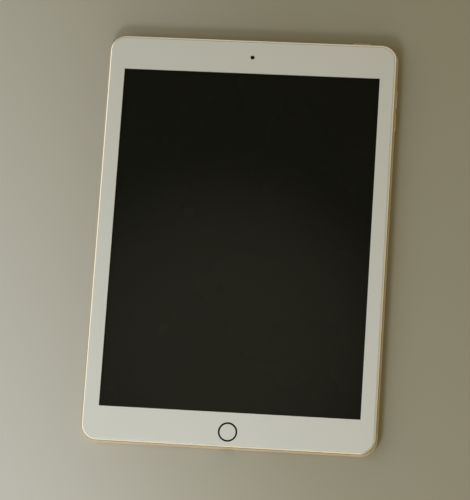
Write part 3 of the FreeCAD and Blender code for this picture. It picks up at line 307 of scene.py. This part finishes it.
def display_black():
    """The switched-off panel: nearly black, with the polariser's soft gloss."""
    t = Tree("display_black")
    haze = t.noise(60 * MM, detail=3.0)
    lit = t.mix(t.spread(haze, 0.0, 1.0), (0.0046, 0.0056, 0.0036), (0.0054, 0.0064, 0.0044))
    return t.principled(
        Base_Color=t.mix(t.outside(*ACTIVE), lit, (0.0008, 0.0008, 0.0008)),
        Roughness=t.spread(haze, 0.25, 0.29),
        Specular_IOR_Level=0.12,
    )


def woven_mesh():
    """Fine black cloth behind the speaker holes."""
    t = Tree("woven_mesh")
    over = t.math("MULTIPLY", t.waves(0, 0.16 * MM), t.waves(2, 0.16 * MM))
    height = t.spread(over, 0.0, 1.0, -1.0, 1.0)
    return t.principled(
        Base_Color=t.mix(height, (0.012, 0.012, 0.012), (0.055, 0.053, 0.05)),
        Roughness=t.spread(height, 0.5, 0.7),
        Normal=t.bump(height, 0.03 * MM),
    )


def circuit_board():
    """Dark solder mask over copper runs."""
    t = Tree("circuit_board")
    copper = t.spread(t.cell_edges(1.6 * MM), 1.0, 0.0, 0.03, 0.06)
    return t.principled(
        Base_Color=t.mix(copper, (0.008, 0.028, 0.02), (0.02, 0.06, 0.042)),
        Roughness=t.spread(t.noise(0.3 * MM, detail=3.0), 0.28, 0.36),
        Normal=t.bump(copper, 0.02 * MM, 0.6),
        Coat_Weight=0.4,
    )


def flex_circuit():
    """Amber polyimide with copper lines along it."""
    t = Tree("flex_circuit")
    lines = t.waves(0, 0.35 * MM)
    copper = t.spread(lines, 0.0, 1.0, 0.1, 0.5)
    return t.principled(
        Base_Color=t.mix(copper, (0.28, 0.10, 0.015), (0.42, 0.19, 0.05)),
        Roughness=t.spread(lines, 0.3, 0.4),
        Normal=t.bump(copper, 0.01 * MM, 0.5),
    )


def battery_foil():
    """Dark laminated foil, softly creased."""
    t = Tree("battery_foil")
    creases = t.noise(5 * MM, detail=5.0, roughness=0.65)
    return t.principled(
        Base_Color=t.mix(t.spread(creases, 0.0, 1.0), (0.03, 0.03, 0.032), (0.05, 0.05, 0.052)),
        Metallic=0.35,
        Roughness=t.spread(t.noise(0.3 * MM), 0.32, 0.42),
        Normal=t.bump(creases, 0.06 * MM, 0.6),
    )


def lens_glass():
    """Coated lens: dark, with a blue-violet coat."""
    t = Tree("lens_glass")
    facing = t.add("LayerWeight")
    facing.inputs["Blend"].default_value = 0.35
    return t.principled(
        Base_Color=t.mix(facing.outputs["Facing"], (0.006, 0.004, 0.009), (0.003, 0.012, 0.012)),
        Roughness=t.spread(t.noise(2 * MM), 0.02, 0.04),
        Coat_Weight=1.0,
        Coat_Roughness=0.02,
    )


def brushed_steel(name, colour, rough):
    """Metal with fine lines along X."""
    t = Tree(name)
    lines = t.noise(0.25 * MM, detail=3.0, roughness=0.6, stretch=(0.05, 1, 1))
    return t.principled(
        Base_Color=t.varied(colour, 0.05, t.noise(12 * MM, detail=3.0)),
        Metallic=1.0,
        Roughness=t.spread(lines, *rough),
        Normal=t.bump(lines, 0.003 * MM, 0.5),
    )


def coloured(name, colour, change, size, rough, depth=0.0, **more):
    """A moulded or printed surface: a base colour that varies a little, and fine grain."""
    t = Tree(name)
    fine = t.noise(0.2 * MM, detail=3.0, roughness=0.6)
    if depth:
        more["Normal"] = t.bump(fine, depth * MM)
    base = t.varied(colour, change, t.noise(size * MM, detail=3.0))
    return t.principled(Base_Color=base, Roughness=t.spread(fine, *rough), **more)


# Slot: colour, roughness from and to.
STEELS = {
    "pressed_steel": ((0.58, 0.57, 0.55), (0.25, 0.38)),
    "screw_steel": ((0.50, 0.49, 0.47), (0.2, 0.3)),
    "plated_contacts": ((0.93, 0.66, 0.27), (0.15, 0.25)),
    "magnet_nickel": ((0.62, 0.60, 0.56), (0.18, 0.26)),
}

# Slot: colour, its change, size of its patches in mm, roughness from and to, depth of grain in mm.
MOULDED = {
    "gasket_plastic": ((0.78, 0.75, 0.68), 0.04, 5, (0.45, 0.6)),
    "dark_adhesive": ((0.015, 0.015, 0.016), 0.1, 4, (0.6, 0.8)),
    "display_foam": ((0.012, 0.012, 0.012), 0.15, 0.8, (0.8, 0.95), 0.03),
    "chip_black": ((0.018, 0.018, 0.02), 0.1, 3, (0.5, 0.62), 0.01),
    "plug_plastic": ((0.06, 0.055, 0.05), 0.08, 2, (0.4, 0.5)),
    "pull_tape": ((0.62, 0.60, 0.55), 0.04, 4, (0.5, 0.6), 0.01),
    "black_plastic": ((0.014, 0.014, 0.015), 0.1, 4, (0.35, 0.48), 0.006),
    "white_plastic": ((0.74, 0.73, 0.70), 0.02, 4, (0.35, 0.45), 0.003),
    "soft_silicone": ((0.30, 0.30, 0.29), 0.05, 3, (0.55, 0.7)),
}

MATERIALS = {
    "gold_aluminium": anodised_aluminium(),
    "clear_glass": clear_glass(),
    "white_ink": coloured("white_ink", WHITE_INK, 0.008, 30, (0.42, 0.5), Specular_IOR_Level=0.3),
    "light_guide": coloured(
        "light_guide", (0.72, 0.74, 0.74), 0.02, 20, (0.2, 0.3), Coat_Weight=0.3
    ),
    "clear_film": clear_film(),
    "display_black": display_black(),
    "flex_circuit": flex_circuit(),
    "circuit_board": circuit_board(),
    "battery_foil": battery_foil(),
    "button_cap": button_white(),
    "lens_glass": lens_glass(),
    "woven_mesh": woven_mesh(),
}
MATERIALS.update({name: brushed_steel(name, *row) for name, row in STEELS.items()})
MATERIALS.update({name: coloured(name, *row) for name, row in MOULDED.items()})
OWN_MATERIAL = {"home_button_ring": ring_metal(), "cover_glass": bordered_glass()}

for name, node in nodes.items():
    for slot in node.material_slots:
        packed = slot.material.name.split(".")[0]
        slot.material = OWN_MATERIAL.get(name) or MATERIALS[packed]


def add_object(name, data):
    made = bpy.data.objects.new(name, data)
    bpy.context.scene.collection.objects.link(made)
    return made


# ---- layers that touch are held a hair apart, so that each one shades on its own ----
def held_back(name, distance):
    shift = nodes[name].modifiers.new("held_back", "DISPLACE")
    shift.direction = "Z"
    shift.mid_level = 0.0
    shift.strength = -distance


held_back("bezel_print", 0.02 * MM)
held_back("touch_film", 0.05 * MM)


# ---- snap domes: pieces of their own, cut from the imported node round each button ----
def snap_dome(name, node, button, joint, press, keep):
    """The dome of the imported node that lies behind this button."""
    place = nodes[node].matrix_world.copy()
    low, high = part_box(button)
    middle = (Vector(low) + Vector(high)) / 2
    mesh = nodes[node].data.copy()
    mesh.materials.clear()
    mesh.materials.append(MATERIALS["screw_steel"])
    shape = bmesh.new()
    shape.from_mesh(mesh)
    others = [v for v in shape.verts if (place @ v.co - middle).length > DOME_REACH]
    bmesh.ops.delete(shape, geom=others, context="VERTS")
    shape.to_mesh(mesh)
    shape.free()
    piece = add_object(name, mesh)
    piece.matrix_world = place
    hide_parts(node)
    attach(piece, "tablet")
    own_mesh(piece)


SIDE_DOMES = (
    ("power_dome", "power_button", "power_button_press", (0, -1, 0)),
    ("volume_up_dome", "volume_up_button", "volume_up_press", (-1, 0, 0)),
    ("volume_down_dome", "volume_down_button", "volume_down_press", (-1, 0, 0)),
)
for name, button, joint, press in SIDE_DOMES:
    snap_dome(name, "side_button_domes", button, joint, press, SIDE_DOME_KEEP)
HOME_DOME = ("home_dome", "home_button_dome", "home_button_carrier", "home_button_press")
snap_dome(*HOME_DOME, (0, 0, -1), HOME_DOME_KEEP)


# ---- floor ----
def sweep():
    """A pale round floor that curves up far behind the tablet on every side."""
    flat, rise, top = 2.6, 0.35, 0.42
    steps, around = 12, 72
    profile = [(0.3, 0.0), (1.0, 0.0), (flat, 0.0)]
    for i in range(1, steps + 1):
        a = math.pi / 2 * i / steps
        profile.append((flat + rise * math.sin(a), rise * (1 - math.cos(a))))
    profile.append((flat + rise, top))
    vertices = [(0.0, 0.0, 0.0)]
    for r, z in profile:
        for k in range(around):
            a = 2 * math.pi * k / around
            vertices.append((r * math.cos(a), r * math.sin(a), z))
    faces = [(0, 1 + k, 1 + (k + 1) % around) for k in range(around)]
    for ring in range(len(profile) - 1):
        for k in range(around):
            a, b = 1 + ring * around + k, 1 + ring * around + (k + 1) % around
            faces.append((a, a + around, b + around, b))
    mesh = bpy.data.meshes.new("floor")
    mesh.from_pydata(vertices, [], faces)
    mesh.shade_smooth()
    return add_object("floor", mesh)


def floor_material():
    """Pale on the left and darker, warmer on the right near the tablet, as painted shade for the
    light's falloff, and one plain tone far out.
    """
    t = Tree("floor")
    x, y = t.axis(0), t.axis(1)
    along = t.math("ADD", x, t.math("MULTIPLY", y, 0.22))
    # painted shade: the colour darkens and warms towards the right, standing for the light's
    # falloff
    painted_falloff = t.spread(along, 0.0, 1.0, -0.20, 0.06, interpolation_type="SMOOTHSTEP")
    near = t.mix(painted_falloff, FLOOR_PALE, FLOOR_PAINTED_SHADE)
    distance = t.math("SQRT", t.squared_length(x, y))
    speck = t.noise(1.5 * MM, detail=4.0, roughness=0.6)
    return t.principled(
        Base_Color=t.mix(t.spread(distance, 0.0, 1.0, 0.22, 0.7), near, FLOOR_FAR),
        Roughness=t.spread(speck, 0.5, 0.6),
        Normal=t.bump(speck, 0.02 * MM, 0.4),
        Specular_IOR_Level=0.3,
    )


floor = sweep()
floor.data.materials.append(floor_material())
floor.location.z = -0.02 * MM


# ---- light ----
def area_light(name, place, size, power, colour):
    """A round lamp that faces the middle of the tablet."""
    lamp = bpy.data.lights.new(name, "AREA")
    lamp.shape = "DISK"
    lamp.size = size
    lamp.energy = power
    lamp.color = colour
    holder = add_object(name, lamp)
    holder.location = place
    holder.rotation_euler = (-Vector(place)).to_track_quat("-Z", "Y").to_euler()


area_light("key", (-0.14, -0.43, 0.42), size=0.18, power=1.40, colour=(0.73, 0.79, 0.86))
area_light("soft_side", (-0.32, -0.05, 0.38), size=0.3, power=0.32, colour=(0.70, 0.84, 1.0))


def room_light():
    """A soft studio sky: pale on the key's side, warmer and dimmer behind, dim overhead."""
    world = bpy.data.worlds.new("studio")
    bpy.context.scene.world = world
    world.use_nodes = True
    nodes, links = world.node_tree.nodes, world.node_tree.links
    direction = nodes.new("ShaderNodeTexCoord").outputs["Generated"]

    def ranged(value, kind, numbers):
        node = nodes.new("ShaderNodeMapRange")
        node.interpolation_type = kind
        for key, number in zip(("From Min", "From Max", "To Min", "To Max"), numbers):
            node.inputs[key].default_value = number
        links.new(value, node.inputs["Value"])
        return node.outputs[0]

    def facing(towards, start, end):
        """0 to 1 as the direction turns towards a point, by the cosine between them."""
        dot = nodes.new("ShaderNodeVectorMath")
        dot.operation = "DOT_PRODUCT"
        links.new(direction, dot.inputs[0])
        dot.inputs[1].default_value = Vector(towards).normalized()
        return ranged(dot.outputs["Value"], "SMOOTHSTEP", (start, end))

    def mixed(kind, share, a, b):
        node = nodes.new("ShaderNodeMix")
        node.data_type, node.blend_type = "RGBA", kind
        for socket, value in zip((node.inputs[0], node.inputs[6], node.inputs[7]), (share, a, b)):
            if isinstance(value, bpy.types.NodeSocket):
                links.new(value, socket)
            elif isinstance(value, tuple):
                socket.default_value = (*value, 1.0)
            else:
                socket.default_value = value
        return node.outputs[2]

    split = nodes.new("ShaderNodeSeparateXYZ")
    links.new(direction, split.inputs[0])
    height = split.outputs[2]
    ramp = nodes.new("ShaderNodeValToRGB")
    links.new(height, ramp.inputs[0])
    stops = ramp.color_ramp.elements
    stops[0].position, stops[1].position = 0.0, 1.0
    stops[0].color, stops[1].color = (1, 1, 1, 1), (0.13, 0.13, 0.13, 1)
    for position, level in ((0.45, 1.0), (0.62, 0.44), (0.86, 0.40), (0.94, 0.15)):
        stops.new(position).color = (level, level, level, 1)
    sky = mixed("MIX", facing((-0.95, -0.3, 0.0), -0.7, 0.8), SKY_WARM, SKY_PALE)
    total = mixed("MULTIPLY", 1.0, sky, ramp.outputs[0])
    lobes = (
        (facing((-0.108, 0.145, 1.0), math.cos(0.085), 1.0), CEILING_GLOW),
        (facing((0.1, -1.0, 0.12), math.cos(0.42), 1.0), FRONT_WINDOW),
        (ranged(height, "LINEAR", (0.4, 0.55, 1.0, 0.0)), WALLS),
    )
    for share, colour in lobes:
        total = mixed("ADD", 1.0, total, mixed("MIX", share, BLACK, colour))
    links.new(total, nodes["Background"].inputs["Color"])


room_light()


# ---- camera ----
CAMERA_PLACE = Vector((0.13700, -0.25252, 1.33180))
CAMERA_AIM = Vector((-0.00282, -0.00546, 0.0065))
CAMERA_ROLL = math.radians(-3.802)
CAMERA_LENS, SENSOR = 169.962, 36.0


def make_camera():
    data = bpy.data.cameras.new("camera")
    data.sensor_width = SENSOR
    data.sensor_fit = "AUTO"
    data.lens = CAMERA_LENS
    data.clip_start, data.clip_end = 0.01, 20.0
    camera = add_object("camera", data)
    forward = (CAMERA_AIM - CAMERA_PLACE).normalized()
    hint = Vector((math.sin(CAMERA_ROLL), math.cos(CAMERA_ROLL), 0.0))
    right = forward.cross(hint).normalized()
    up = right.cross(forward)
    turn = camera.matrix_world.copy()
    for row in range(3):
        turn[row][0], turn[row][1], turn[row][2] = right[row], up[row], -forward[row]
        turn[row][3] = CAMERA_PLACE[row]
    camera.matrix_world = turn
    bpy.context.scene.camera = camera


make_camera()
bpy.context.scene.view_settings.view_transform = "Standard"
bpy.context.scene.view_settings.look = "None"
